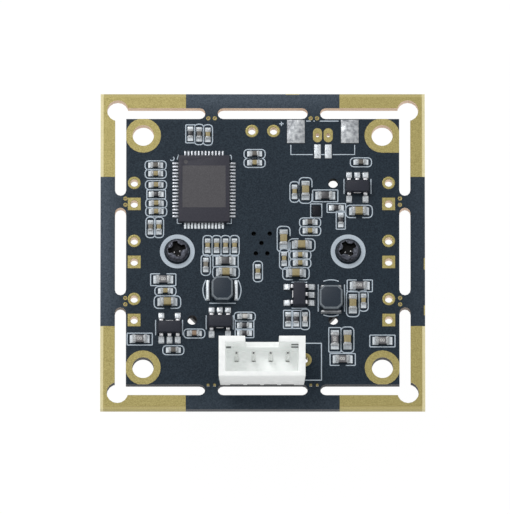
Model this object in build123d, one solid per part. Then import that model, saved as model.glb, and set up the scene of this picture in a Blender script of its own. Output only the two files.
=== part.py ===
import os
from math import copysign, radians, sqrt, tan

from build123d import *

os.makedirs("parts", exist_ok=True)

# Camera module, lens down: the lens rim stands at Z = 0 and the component side faces up.
# The origin is under the middle of the square board.  Millimetres throughout.

# Board panel: a working board held in a break-off rim by eight thin tabs
panel_side = 38.0
rim_bar = 1.7
slot_width = 1.3
work_side = panel_side - 2 * (rim_bar + slot_width)
board_thickness = 1.2
copper_thickness = 0.04
tab_width = 1.45
tab_offset = 6.0
bite_diameter = 0.42
bite_spacing = 0.76
bite_inset = 0.08
corner_hole_inset = 2.0
corner_hole_pitch = panel_side - 2 * corner_hole_inset
corner_hole_diameter = 2.5
mount_inset = 2.0
mount_pitch = work_side - 2 * mount_inset
mount_hole_diameter = 2.5
mount_ring_diameter = 4.15
plating_length = 10.0
plating_setback = 0.35

# Plated holes for lamps, microphone, spare socket and cable connector
lamp_inset = 1.1
lamp_shift = -0.15
lamp_pitch = 2.54
lamp_group_pitch = 7.0
lamp_hole_diameter = 0.93
lamp_pad_size = 1.5
microphone_inset = 1.45
microphone_gap = 0.82
spare_ring_gap = 0.665
spare_pitch = 1.26
spare_hole_inset = 1.97
spare_hole_diameter = 0.5
spare_hole_pad_width = 1.06
spare_hole_pad_length = 1.7
pad_corner_share = 0.29
spare_signal_inset = 3.94
spare_signal_width = 0.8
spare_signal_length = 1.7
spare_anchor_inset = 1.52
spare_anchor_pitch = 6.32
spare_anchor_width = 2.1
spare_anchor_length = 2.84
solder_height = 0.12
solder_draw = 0.1
locating_pitch = 16.5
locating_diameter = 1.15
via_diameter = 0.56
via_places = [(-1.05, 2.15), (0.82, 2.15), (-0.15, 1.02), (-0.81, -0.23), (0.55, -0.23)]

# Sides given to the small round details that repeat over the board
fine_round = 0.85
fine_sides = 8
small_sides = 12
slot_sides = 12
corner_sides = 16
ring_sides = 24

# Cable connector: a shrouded vertical header, 2 mm pitch, four pins in a five-hole footprint
pin_pitch = 2.0
pin_count = 4
hole_count = 5
pin_width = 0.5
pin_row_inset = 2.95
pin_middle_x = -0.07
pin_above_board = 4.7
pin_below_board = 2.0
pin_point_length = 0.35
pin_point_draw = 0.16
pin_hole_diameter = 0.8
pin_pad_diameter = 1.6
header_end = 1.95
header_depth = 4.5
header_height = 6.0
header_back_reach = 1.7
header_floor = 1.2
header_side_wall = 0.75
header_front_wall = 0.55
header_back_wall = 0.7
header_gap_width = 3.85
header_gap_sill = 2.9
window_width = 0.9
window_height = 0.5
window_sill = 3.1
window_step = 1.15
window_inset = 1.2
foot_arch_width = 1.5
foot_arch_height = 0.4
joint_height = 0.9
joint_diameter = 1.4
joint_sides = 8
joint_tip_diameter = 0.8

# Processor: a leadless chip with its solder lands showing all round
chip_width = 6.0
chip_length = 8.0
chip_height = 0.85
chip_middle = (-6.88, 7.42)
chip_edge_break = 0.08
land_pitch = 0.4
land_width = 0.22
land_reach = 0.72
land_tuck = 0.3
land_end_count = 12
land_side_count = 17
land_height = 0.06

# Regulators: five-lead chips; the turn is that of the side with three leads from the back
regulator_length = 2.9
regulator_width = 1.6
regulator_height = 1.1
regulator_lift = 0.1
regulator_taper = 7.0
lead_width = 0.4
lead_thickness = 0.15
lead_span = 3.5
lead_foot = 0.55
lead_pitch = 0.96
input_regulator_place = (11.08, 7.72, 0)
core_regulator_place = (-10.9, -9.25, 180)
sensor_regulator_place = (-5.02, -8.56, 0)
memory_regulator_place = (4.28, -5.28, -90)

# Inductors: ferrite drums with a flat terminal at each end
inductor_height = 1.5
inductor_lift = 0.12
inductor_corner = 0.55
inductor_top_break = 0.22
left_inductor_width = 2.55
left_inductor_length = 2.9
left_inductor_place = (-4.73, -4.72, 0)
right_inductor_width = 2.9
right_inductor_length = 2.75
right_inductor_place = (8.0, -5.8, 90)
terminal_reach = 0.55
terminal_width = 2.5

# Flash chip beside the right-hand regulator
small_chip_width = 0.95
small_chip_length = 1.25
small_chip_height = 0.45
small_chip_middle = (6.27, 4.82)

# Chip capacitors and resistors: small and large case, each with a soldered cap at both ends
small_length = 1.02
small_width = 0.52
small_cap = 0.26
small_fillet = 0.32
large_length = 1.6
large_width = 0.82
large_cap = 0.36
large_fillet = 0.33
capacitor_rise = 0.95
resistor_rise = 0.62

# Lens side: holder, barrel, glass and sensor
holder_side = 17.6
holder_flange = 1.5
holder_flange_corner = 1.6
holder_body_corner = 2.7
holder_base_height = 5.2
holder_wall = 1.6
holder_ledge = 1.4
holder_tube_diameter = 15.0
holder_tube_height = 3.8
holder_screw_pitch = 20.0
holder_ear_radius = 2.3
holder_ear_height = 4.4
holder_edge_break = 0.4
thread_diameter = 12.0
thread_clearance = 0.1
thread_showing = 1.7
barrel_tail = 3.4
head_diameter = 14.0
head_length = 5.8
head_edge_break = 0.4
grip_count = 12
grip_depth = 0.35
grip_width = 1.3
screw_diameter = 1.6
screw_clearance = 0.1
screw_length = 4.6
screw_head_diameter = 2.9
screw_head_height = 0.9
screw_head_bevel = 0.45
pilot_spare = 0.3
fit_gap = 0.02
mouth_flare = 0.5
grip_margin = 0.9
front_pocket_diameter = 10.4
front_pocket_depth = 3.4
front_rim_height = 1.2
front_ring_height = 1.0
front_ring_wall = 0.8
front_ring_opening = front_pocket_diameter - 2 * front_ring_wall
shoulder_opening = 5.6
shoulder_thickness = 0.8
stack_bore = 7.2
element_rim_height = 1.2
stop_thickness = 0.15
stop_opening = 2.2
spacer_height = 2.8
spacer_wall = 0.65
spacer_opening = stack_bore - 2 * spacer_wall
rear_ring_height = 0.6
zone_margin = 0.05
lens_flat_share = 0.5
front_lens_bulge = 0.9
front_lens_hollow = -0.55
second_lens_bulge = -0.3
second_lens_hollow = -0.35
rear_lens_hollow = -0.2
rear_lens_bulge = 0.5
sensor_side = 7.4
sensor_height = 0.7
sensor_glass_side = 6.4
sensor_glass_height = 0.4
filter_side = 9.0
filter_thickness = 0.3
filter_seat = 0.8
filter_ledge = 0.7

# Levels
board_bottom = head_length + thread_showing + holder_tube_height + holder_base_height
board_top = board_bottom + board_thickness
header_seat = board_top + copper_thickness
work_edge = work_side / 2
slot_line = work_edge + slot_width / 2
board_share = work_side / 32
spare_middle_x = (
    mount_pitch / 2
    - mount_ring_diameter / 2
    - spare_ring_gap
    - spare_anchor_width / 2
    - spare_anchor_pitch / 2
)
microphone_middle_x = (
    spare_middle_x
    - spare_anchor_pitch / 2
    - spare_anchor_width / 2
    - microphone_gap
    - lamp_pad_size / 2
    - lamp_pitch / 2
)
pin_row_y = -work_edge + pin_row_inset


def slab(outline, bottom, height):
    """A flat outline given a thickness."""
    return extrude(Plane.XY.offset(bottom) * outline, amount=height)


def at(outline, x, y, turn=0):
    """An outline or a solid set down at a place on the board."""
    return Location((x, y, 0), (0, 0, turn)) * outline


def spread(x, y, *turn):
    """A place measured on the 32 mm board, moved out or in as the working board grows or shrinks."""
    return (x * board_share, y * board_share, *turn)


def slot(length, width):
    """A routed slot with many-sided round ends."""
    straight = length - width
    outline = Rectangle(straight, width)
    for way in (-1, 1):
        outline += at(RegularPolygon(width / 2, slot_sides), way * straight / 2, 0)
    return outline


def small_round(diameter):
    """A small hole or pad, many-sided to keep the board light."""
    return RegularPolygon(diameter / 2, fine_sides if diameter < fine_round else small_sides)


def four_corners(pitch):
    """The four corners of a square hole pattern."""
    return [(sx * pitch / 2, sy * pitch / 2) for sx in (-1, 1) for sy in (-1, 1)]


# Places of the plated holes, worked out from the edge of the working board
lamp_places = []
for side in (-1, 1):
    for group in (-1, 0, 1):
        for step in (-1, 1):
            y = group * lamp_group_pitch * board_share - step * lamp_pitch / 2
            x = side * (work_edge - lamp_inset) + lamp_shift
            lamp_places.append((x, y, step > 0))


def pair_at(middle, pitch, inset):
    """Two places side by side, set in from the back edge of the working board."""
    return [(middle + way * pitch / 2, work_edge - inset) for way in (-1, 1)]


microphone_places = pair_at(microphone_middle_x, lamp_pitch, microphone_inset)
spare_hole_places = pair_at(spare_middle_x, spare_pitch, spare_hole_inset)
signal_places = pair_at(spare_middle_x, spare_pitch, spare_signal_inset)
anchor_places = pair_at(spare_middle_x, spare_anchor_pitch, spare_anchor_inset)
first_pin_x = pin_middle_x - (pin_count - 1) * pin_pitch / 2
pin_hole_places = [(first_pin_x + i * pin_pitch, pin_row_y) for i in range(hole_count)]
screw_places = [(s * holder_screw_pitch / 2, 0) for s in (-1, 1)]


def slot_outline():
    """Routed slots between the rim and the working board, three to a side."""
    middle = 2 * tab_offset - tab_width
    start = tab_offset + tab_width / 2
    end = slot_line + slot_width / 2
    outline = Sketch()
    for turn in (0, 90, 180, 270):
        side = at(slot(middle, slot_width), 0, slot_line)
        for way in (-1, 1):
            side += at(slot(end - start, slot_width), way * (start + end) / 2, slot_line)
        outline += Rot(0, 0, turn) * side
    for x, y in four_corners(corner_hole_pitch):
        outline += at(RegularPolygon(corner_hole_diameter / 2, corner_sides), x, y)
    return outline


def bite_outline():
    """Two small drilled holes on the break line of every tab."""
    outline = Sketch()
    for turn in (0, 90, 180, 270):
        for tab in (-1, 1):
            for way in (-1, 1):
                x = tab * tab_offset + way * bite_spacing / 2
                bite = at(small_round(bite_diameter), x, work_edge + bite_inset)
                outline += Rot(0, 0, turn) * bite
    return outline


def hole_outline():
    """Every round hole through the board, plated or not."""
    outline = Sketch()
    for x, y in four_corners(mount_pitch):
        outline += at(Circle(mount_hole_diameter / 2), x, y)
    rows = (
        (screw_diameter + 2 * screw_clearance, screw_places),
        (locating_diameter, four_corners(locating_pitch)),
        (via_diameter, via_places),
        (lamp_hole_diameter, [(x, y) for x, y, square in lamp_places] + microphone_places),
        (spare_hole_diameter, spare_hole_places),
        (pin_hole_diameter, pin_hole_places),
    )
    for diameter, places in rows:
        for x, y in places:
            outline += at(small_round(diameter), x, y)
    return outline


def cut_outline():
    """All that is routed or drilled away."""
    return slot_outline() + bite_outline() + hole_outline()


def rim_plating_outline():
    """Bare plated copper on the four corners of the rim, held back from the panel's outer edge."""
    outline = Sketch()
    middle = panel_side / 2 - plating_length / 2
    for x, y in four_corners(2 * middle):
        outline += at(Rectangle(plating_length, plating_length), x, y)
    inside = panel_side - 2 * plating_setback
    within = work_side + slot_width
    return (outline & Rectangle(inside, inside)) - Rectangle(within, within)


def ring_outline():
    """Bare copper round the four mounting holes, cut off where the board ends.
    The one at the back right is filled out to the board's edge."""
    outline = Sketch()
    for x, y in four_corners(mount_pitch):
        outline += at(RegularPolygon(mount_ring_diameter / 2, ring_sides), x, y)
    middle = mount_pitch / 2
    filled = mount_ring_diameter / 2
    outline += at(Rectangle(filled, filled), middle + filled / 2, middle - filled / 2)
    return outline & Rectangle(work_side, work_side)


def pad_outline():
    """Pads of the plated holes: square for the first lead of each lamp, round for the others."""
    outline = Sketch()
    for x, y, square in lamp_places:
        pad = Rectangle(lamp_pad_size, lamp_pad_size) if square else small_round(lamp_pad_size)
        outline += at(pad, x, y)
    for x, y in microphone_places:
        outline += at(small_round(lamp_pad_size), x, y)
    for x, y in spare_hole_places:
        pad = Rectangle(spare_hole_pad_width, spare_hole_pad_length)
        outline += at(chamfer(pad.vertices(), spare_hole_pad_width * pad_corner_share), x, y)
    for x, y in pin_hole_places:
        outline += at(small_round(pin_pad_diameter), x, y)
    return outline


def circuit_board():
    """Laminate panel with everything routed and drilled."""
    outline = Rectangle(panel_side, panel_side) - board_cuts
    return slab(outline, board_bottom, board_thickness)


def plating(outline):
    """Plated copper a hair proud of the board where the mask is open."""
    return slab(outline - board_cuts, board_top, copper_thickness).solids()


def solder_cushion(width, length, x, y):
    """A pad covered in solder, its top edges drawn in by surface tension."""
    block = slab(Rectangle(width, length), board_top, solder_height)
    top = block.faces().sort_by(Axis.Z)[-1]
    return at(chamfer(top.edges(), solder_draw), x, y)


def spare_socket_pads():
    """Four tinned pads of the spare socket: two for its feet, two for its contacts."""
    solids = [solder_cushion(spare_anchor_width, spare_anchor_length, x, y) for x, y in anchor_places]
    solids += [solder_cushion(spare_signal_width, spare_signal_length, x, y) for x, y in signal_places]
    return solids


def processor_body():
    """Moulded chip body with its edges broken."""
    body = slab(Rectangle(chip_width, chip_length), board_top + land_height, chip_height - land_height)
    body = chamfer(body.faces().sort_by(Axis.Z)[-1].edges(), chip_edge_break)
    return at(body, *spread(*chip_middle))


def processor_lands():
    """Solder lands that reach out from under the chip on all four sides."""
    solids = []
    length = land_tuck + land_reach
    for count, width, edge, turn in (
        (land_end_count, land_pitch, chip_length / 2, 0),
        (land_side_count, land_pitch, chip_width / 2, 90),
    ):
        for way in (-1, 1):
            for i in range(count):
                along = (i - (count - 1) / 2) * land_pitch
                land = slab(Rectangle(land_width, length), board_top, land_height)
                land = at(land, along, way * (edge - land_tuck + length / 2))
                solids.append(at(Rot(0, 0, turn) * land, *spread(*chip_middle)))
    return solids


def regulator_body(place):
    """Moulded body of a five-lead chip, tapered to a smaller top."""
    rise = regulator_height - regulator_lift
    base = Plane.XY.offset(board_top + regulator_lift) * Rectangle(regulator_length, regulator_width)
    return at(extrude(base, amount=rise, taper=regulator_taper), *spread(*place))


def regulator_side_at(height):
    """Half width of the tapered body at a height over the board."""
    return regulator_width / 2 - (height - regulator_lift) * tan(radians(regulator_taper))


def gull_lead():
    """One formed lead: out of the body, down and out to a flat foot on its land."""
    bottom = board_top
    out = lead_span / 2
    rise = regulator_height / 2
    level = bottom + rise
    bend = out - lead_foot
    line = Polyline(
        (regulator_side_at(rise), level),
        (bend, level),
        (bend + lead_thickness, bottom),
        (out, bottom),
        (out, bottom + lead_thickness),
        (bend + 2 * lead_thickness, bottom + lead_thickness),
        (bend + lead_thickness, level + lead_thickness),
        (regulator_side_at(rise + lead_thickness), level + lead_thickness),
        close=True,
    )
    return extrude(Plane.YZ * make_face(line), amount=lead_width / 2, both=True)


def regulator_leads(place):
    """Three leads along one side and two along the other."""
    solids = []
    for along in (-lead_pitch, 0, lead_pitch):
        solids.append(at(at(gull_lead(), along, 0), *spread(*place)))
    for along in (-lead_pitch, lead_pitch):
        solids.append(at(at(Rot(0, 0, 180) * gull_lead(), along, 0), *spread(*place)))
    return solids


def inductor_core(width, length, place):
    """Ferrite drum in a resin coat, its corners and its top edge broken."""
    body = slab(Rectangle(width, length), board_top + inductor_lift, inductor_height - inductor_lift)
    body = chamfer(body.edges().filter_by(Axis.Z), inductor_corner)
    body = chamfer(body.faces().sort_by(Axis.Z)[-1].edges(), inductor_top_break)
    return at(body, *spread(*place))


def inductor_terminals(width, place):
    """The two flat end terminals, soldered to their lands."""
    length = width / 2 + terminal_reach
    solids = []
    for way in (-1, 1):
        plate_length = terminal_reach + inductor_corner
        plate = slab(Rectangle(plate_length, terminal_width), board_top, inductor_lift)
        solids.append(at(at(plate, way * (length - plate_length / 2), 0), *spread(*place)))
    return solids


def small_chip():
    """Tiny leadless chip."""
    body = slab(Rectangle(small_chip_width, small_chip_length), board_top, small_chip_height)
    body = chamfer(body.faces().sort_by(Axis.Z)[-1].edges(), chip_edge_break)
    return at(body, *spread(*small_chip_middle))


def chip_part(large, resistor):
    """A chip capacitor or resistor with its two soldered end caps, lying along X."""
    length = large_length if large else small_length
    width = large_width if large else small_width
    cap = large_cap if large else small_cap
    fillet_reach = large_fillet if large else small_fillet
    height = width * (resistor_rise if resistor else capacitor_rise)
    middle = slab(Rectangle(length - 2 * cap, width), board_top + land_height, height - land_height)
    solids = [middle]
    for way in (-1, 1):
        line = Polyline(
            (length / 2 - cap, board_top),
            (length / 2 + fillet_reach, board_top),
            (length / 2, board_top + height),
            (length / 2 - cap, board_top + height),
            close=True,
        )
        cap_solid = extrude(Plane.XZ * make_face(line), amount=width / 2, both=True)
        solids.append(cap_solid if way > 0 else Rot(0, 0, 180) * cap_solid)
    return solids


def chip_group(places):
    """A group of chip parts: each row gives X, Y, the way it lies, its case and its kind."""
    solids = []
    for x, y, way, case, kind in places:
        for solid in chip_part(case == "large", kind == "resistor"):
            solids.append(at(solid, *spread(x, y), 90 if way == "up" else 0))
    return solids


def connector_housing():
    """White shrouded header: open top, a wide gap in its back wall, arches along its foot."""
    width = (pin_count - 1) * pin_pitch + 2 * header_end
    back = pin_row_y + header_back_reach
    front = back - header_depth
    middle_y = (back + front) / 2
    body = at(slab(Rectangle(width, header_depth), header_seat, header_height), pin_middle_x, middle_y)
    cavity_width = width - 2 * header_side_wall
    cavity_depth = header_depth - header_front_wall - header_back_wall
    cavity_y = front + header_front_wall + cavity_depth / 2
    cavity = slab(Rectangle(cavity_width, cavity_depth), header_seat + header_floor, header_height)
    body -= at(cavity, pin_middle_x, cavity_y)
    gap = Rectangle(header_gap_width, 2 * header_back_wall)
    body -= at(slab(gap, header_seat + header_gap_sill, header_height), pin_middle_x, back)
    for way in (-1, 1):
        for step in (0, 1):
            sill = header_seat + window_sill + step * window_step
            window = slab(Rectangle(window_width, 2 * header_back_wall), sill, window_height)
            body -= at(window, pin_middle_x + way * (width / 2 - window_inset), back)
    for x, y in pin_hole_places[:pin_count]:
        arch = slab(Rectangle(foot_arch_width, 2 * header_front_wall), header_seat, foot_arch_height)
        body -= at(arch, x, front)
        pin_slot = slab(Rectangle(pin_width, pin_width), header_seat, header_floor)
        body -= at(pin_slot, x, y)
    return body


def connector_pin(x, y):
    """Square pin with a blunt point at both ends."""
    length = pin_above_board + pin_below_board + board_top - board_bottom
    bottom = board_bottom - pin_below_board
    shaft = slab(Rectangle(pin_width, pin_width), bottom, length)
    ends = shaft.faces().sort_by(Axis.Z)
    edges = ends[0].edges() + ends[-1].edges()
    return at(chamfer(edges, length=pin_point_length, length2=pin_point_draw), x, y)


def pin_joints():
    """Solder cones round the pins on the lens side."""
    solids = []
    foot = Plane.XY.offset(board_bottom) * RegularPolygon(joint_diameter / 2, joint_sides)
    tip = Plane.XY.offset(board_bottom - joint_height) * RegularPolygon(joint_tip_diameter / 2, joint_sides)
    cone = loft([foot, tip], ruled=True)
    hole = slab(Rectangle(pin_width, pin_width), board_bottom - joint_height, joint_height)
    for x, y in pin_hole_places[:pin_count]:
        solids.append(at(cone - hole, x, y))
    return solids


def holder_screw(x, y):
    """Self-tapping pan-head screw, driven from the component side."""
    radius = screw_head_diameter / 2
    head = slab(Circle(radius), board_top, screw_head_height)
    head = chamfer(head.faces().sort_by(Axis.Z)[-1].edges(), screw_head_bevel)
    shank = slab(RegularPolygon(screw_diameter / 2, small_sides), board_top - screw_length, screw_length)
    return at(head + shank, x, y)


def cut_square(side, corner):
    """A square with its corners cut at 45 degrees."""
    square = Rectangle(side, side)
    return chamfer(square.vertices(), corner)


def lens_holder():
    """Black moulded holder: hollow square foot, two screw ears and a round threaded tube.
    The foot's corners are cut back under its flange, so that they clear the locating holes."""
    base_bottom = board_bottom - holder_base_height
    tube_bottom = base_bottom - holder_tube_height
    body = slab(cut_square(holder_side, holder_body_corner), base_bottom, holder_base_height)
    body = chamfer(body.faces().sort_by(Axis.Z)[0].edges(), holder_edge_break)
    flange = cut_square(holder_side, holder_flange_corner)
    body += slab(flange, board_bottom - holder_flange, holder_flange)
    for x, y in screw_places:
        ear = at(Circle(holder_ear_radius), x, y)
        ear += at(Rectangle(abs(x), 2 * holder_ear_radius), x / 2, y)
        body += slab(ear, board_bottom - holder_ear_height, holder_ear_height)
    body += slab(Circle(holder_tube_diameter / 2), tube_bottom, holder_tube_height)
    room = cut_square(
        holder_side - 2 * holder_wall,
        holder_body_corner - (2 - sqrt(2)) * holder_wall,
    )
    room_height = holder_base_height - holder_ledge
    body -= slab(room, board_bottom - room_height, room_height)
    window = filter_side - 2 * filter_seat
    body -= slab(Rectangle(window, window), base_bottom, holder_base_height)
    bore_height = holder_tube_height + holder_ledge - filter_ledge
    body -= slab(Circle(thread_diameter / 2 + thread_clearance), tube_bottom, bore_height)
    for x, y in screw_places:
        depth = screw_length - board_thickness + pilot_spare
        body -= at(slab(Circle(screw_diameter / 2 + fit_gap), board_bottom - depth, depth), x, y)
    return body


def ring(outer, inner, bottom, height):
    """A flat ring standing on the lens axis."""
    return slab(Circle(outer) - Circle(inner), bottom, height)


def lens_barrel():
    """Turned barrel: a wide grooved head at the front and a slim threaded tail."""
    tail_end = head_length + thread_showing + barrel_tail
    head = slab(Circle(head_diameter / 2), 0, head_length)
    head = chamfer(head.edges().filter_by(GeomType.CIRCLE), head_edge_break)
    for i in range(grip_count):
        groove = Rectangle(2 * grip_depth, grip_width)
        length = head_length - 2 * grip_margin
        groove = slab(at(groove, head_diameter / 2, 0), grip_margin, length)
        head -= Rot(0, 0, i * 360 / grip_count) * groove
    body = head + slab(Circle(thread_diameter / 2), head_length, tail_end - head_length)
    body -= slab(Circle(front_pocket_diameter / 2), 0, front_pocket_depth)
    body -= slab(Circle(shoulder_opening / 2), front_pocket_depth, shoulder_thickness)
    stack_bottom = front_pocket_depth + shoulder_thickness
    body -= slab(Circle(stack_bore / 2), stack_bottom, tail_end - stack_bottom)
    mouth = Cone(
        front_pocket_diameter / 2 + mouth_flare,
        front_pocket_diameter / 2,
        mouth_flare,
        align=(Align.CENTER, Align.CENTER, Align.MIN),
    )
    return body - mouth


def dome(bulge, zone, x):
    """Height of a spherical face over its rim, at a distance from the axis."""
    radius = (zone**2 + bulge**2) / (2 * bulge)
    return bulge - radius + copysign(sqrt(radius**2 - x**2), radius)


def lens(bore, opening, rim_bottom, rim_height, front_bulge, back_bulge):
    """A glass element: a flat rim to seat on, and on each face a curve drawn as a bevel and a flat.
    A bulge is positive where the face swells outward and negative where it is hollow."""
    outer = bore / 2 - fit_gap
    zone = opening / 2 - zone_margin
    rim_top = rim_bottom + rim_height
    flat = zone * lens_flat_share
    front = rim_bottom - dome(front_bulge, zone, flat)
    back = rim_top + dome(back_bulge, zone, flat)
    line = Polyline(
        (0, front),
        (flat, front),
        (zone, rim_bottom),
        (outer, rim_bottom),
        (outer, rim_top),
        (zone, rim_top),
        (flat, back),
        (0, back),
        close=True,
    )
    return revolve(Plane.XZ * make_face(line), Axis.Z)


front_rim_bottom = front_pocket_depth - front_rim_height
stack_bottom = front_pocket_depth + shoulder_thickness
stop_bottom = stack_bottom + element_rim_height
spacer_bottom = stop_bottom + stop_thickness
rear_bottom = spacer_bottom + spacer_height
rear_ring_bottom = rear_bottom + element_rim_height
stack_radius = stack_bore / 2 - fit_gap
pocket_radius = front_pocket_diameter / 2 - fit_gap


def front_lens_ring():
    """Threaded ring that holds the front element in its pocket."""
    bottom = front_rim_bottom - front_ring_height
    return ring(pocket_radius, front_ring_opening / 2, bottom, front_ring_height)


def front_lens():
    """Front element: swells outward, hollow behind."""
    return lens(front_pocket_diameter, front_ring_opening, front_rim_bottom, front_rim_height,
                front_lens_bulge, front_lens_hollow)


def second_lens():
    """Small element behind the shoulder, hollow on both faces."""
    return lens(stack_bore, spacer_opening, stack_bottom, element_rim_height,
                second_lens_bulge, second_lens_hollow)


def rear_lens():
    """Rear element, which swells towards the sensor."""
    return lens(stack_bore, spacer_opening, rear_bottom, element_rim_height,
                rear_lens_hollow, rear_lens_bulge)


def infrared_filter():
    """Square of coated glass glued on the ledge inside the holder."""
    seat = board_bottom - (holder_base_height - holder_ledge)
    return slab(Rectangle(filter_side, filter_side), seat, filter_thickness)


def image_sensor():
    """Sensor package soldered on the lens side of the board."""
    return slab(Rectangle(sensor_side, sensor_side), board_bottom - sensor_height, sensor_height)


def sensor_cover_glass():
    """Clear glass over the sensor."""
    bottom = board_bottom - sensor_height - sensor_glass_height
    return slab(Rectangle(sensor_glass_side, sensor_glass_side), bottom, sensor_glass_height)


# Chip parts: X and Y on the 32 mm board, the way each lies, its case and its kind
chip_groups = {
    "back_edge_chip_parts": [
        (-8.49, 14.2, "up", "small", "resistor"),
        (-7.46, 14.13, "up", "small", "capacitor"),
        (-6.43, 14.07, "up", "small", "capacitor"),
    ],
    "processor_side_parts_back": [
        (-12.55, 10.39, "across", "small", "resistor"),
        (-12.54, 9.37, "across", "small", "capacitor"),
        (-12.5, 8.01, "across", "small", "capacitor"),
    ],
    "processor_side_parts_front": [
        (-12.48, 6.89, "across", "small", "resistor"),
        (-12.47, 5.79, "across", "small", "capacitor"),
        (-12.47, 4.8, "across", "small", "capacitor"),
    ],
    "left_screw_capacitors": [
        (-13.14, 2.9, "up", "small", "capacitor"),
        (-12.15, 2.9, "up", "small", "capacitor"),
    ],
    "processor_foot_capacitors": [
        (-6.45, 0.68, "up", "small", "capacitor"),
        (-5.4, 0.68, "up", "small", "capacitor"),
        (-4.35, 0.68, "up", "small", "capacitor"),
        (-3.3, 0.68, "up", "small", "capacitor"),
    ],
    "microphone_filter_parts": [
        (-0.95, 11.77, "across", "small", "resistor"),
        (-0.95, 10.69, "across", "small", "capacitor"),
    ],
    "input_regulator_capacitors": [
        (11.51, 10.76, "across", "small", "capacitor"),
        (11.29, 4.83, "across", "large", "capacitor"),
    ],
    "sensor_supply_parts": [
        (3.73, 7.18, "up", "small", "capacitor"),
        (5.02, 7.36, "up", "large", "capacitor"),
        (7.33, 6.71, "across", "large", "resistor"),
    ],
    "flash_chip_resistors": [
        (8.63, 5.24, "across", "small", "resistor"),
        (9.14, 3.78, "up", "small", "resistor"),
    ],
    "flash_chip_capacitors": [
        (5.55, 3.5, "across", "small", "capacitor"),
        (5.55, 2.47, "across", "small", "capacitor"),
    ],
    "memory_supply_capacitors": [
        (2.45, 1.48, "up", "large", "capacitor"),
        (4.57, 0.77, "across", "large", "capacitor"),
        (2.51, -0.9, "up", "small", "capacitor"),
        (4.4, -0.44, "across", "small", "capacitor"),
        (4.4, -1.42, "across", "small", "capacitor"),
        (3.89, -2.66, "across", "large", "capacitor"),
    ],
    "middle_capacitor": [
        (-0.57, -2.42, "up", "small", "capacitor"),
    ],
    "right_inductor_parts": [
        (11.36, -4.15, "across", "large", "resistor"),
        (10.55, -6.31, "up", "large", "capacitor"),
        (11.8, -5.96, "up", "small", "capacitor"),
    ],
    "front_right_parts": [
        (8.44, -10.65, "up", "large", "resistor"),
        (9.91, -10.65, "up", "large", "capacitor"),
        (9.35, -13.01, "across", "large", "resistor"),
        (14.0, -10.79, "across", "large", "resistor"),
    ],
    "memory_regulator_parts": [
        (2.97, -8.18, "up", "small", "resistor"),
        (3.92, -8.18, "up", "small", "resistor"),
        (4.95, -8.18, "up", "small", "capacitor"),
    ],
    "core_regulator_input_parts": [
        (-11.64, -3.41, "across", "large", "resistor"),
        (-11.38, -4.78, "across", "small", "capacitor"),
        (-11.15, -6.11, "across", "large", "capacitor"),
    ],
    "left_edge_resistor": [
        (-14.39, -10.56, "across", "large", "resistor"),
    ],
    "core_regulator_output_capacitors": [
        (-8.0, -9.89, "across", "small", "capacitor"),
        (-10.45, -11.9, "across", "small", "capacitor"),
    ],
    "left_inductor_parts": [
        (-6.67, -1.64, "up", "small", "capacitor"),
        (-4.35, -1.16, "across", "large", "resistor"),
        (-4.3, -2.54, "across", "large", "capacitor"),
    ],
    "sensor_regulator_parts": [
        (-2.1, -7.86, "across", "small", "capacitor"),
        (-2.13, -8.92, "across", "small", "resistor"),
        (-2.13, -9.86, "across", "small", "resistor"),
    ],
}

regulator_places = {
    "input_regulator": input_regulator_place,
    "core_regulator": core_regulator_place,
    "sensor_regulator": sensor_regulator_place,
    "memory_regulator": memory_regulator_place,
}

board_cuts = cut_outline()
left_core = inductor_core(left_inductor_width, left_inductor_length, left_inductor_place)
right_core = inductor_core(right_inductor_width, right_inductor_length, right_inductor_place)

nodes = {
    "circuit_board": [circuit_board()],
    "rim_corner_plating": plating(rim_plating_outline()),
    "mounting_hole_rings": plating(ring_outline()),
    "plated_hole_pads": plating(pad_outline()),
    "spare_socket_solder_pads": spare_socket_pads(),
    "processor_body": [processor_body()],
    "processor_lands": processor_lands(),
    "left_inductor_core": [left_core],
    "right_inductor_core": [right_core],
    "left_inductor_terminals": inductor_terminals(left_inductor_width, left_inductor_place),
    "right_inductor_terminals": inductor_terminals(right_inductor_width, right_inductor_place),
    "flash_chip": [small_chip()],
    "connector_housing": [connector_housing()],
    "connector_pin_joints": pin_joints(),
    "holder_screws": [holder_screw(x, y) for x, y in screw_places],
    "lens_holder": [lens_holder()],
    "lens_barrel": [lens_barrel()],
    "front_lens_ring": [front_lens_ring()],
    "front_lens": [front_lens()],
    "second_lens": [second_lens()],
    "aperture_stop": [ring(stack_radius, stop_opening / 2, stop_bottom, stop_thickness)],
    "spacer_ring": [ring(stack_radius, spacer_opening / 2, spacer_bottom, spacer_height)],
    "rear_lens": [rear_lens()],
    "rear_lens_ring": [ring(stack_radius, spacer_opening / 2, rear_ring_bottom, rear_ring_height)],
    "infrared_filter": [infrared_filter()],
    "image_sensor": [image_sensor()],
    "sensor_cover_glass": [sensor_cover_glass()],
}
for name, place in regulator_places.items():
    nodes[name] = [regulator_body(place)]
    nodes[name + "_leads"] = regulator_leads(place)
for i, (x, y) in enumerate(pin_hole_places[:pin_count]):
    nodes[f"connector_pin_{i + 1}"] = [connector_pin(x, y)]
for name, rows in chip_groups.items():
    nodes[name] = chip_group(rows)

for name, solids in nodes.items():
    part = Compound(children=list(solids)) if len(solids) > 1 else solids[0]
    export_step(part, f"parts/{name}.step")
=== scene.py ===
import math

import bpy
from mathutils import Matrix, Vector


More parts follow.
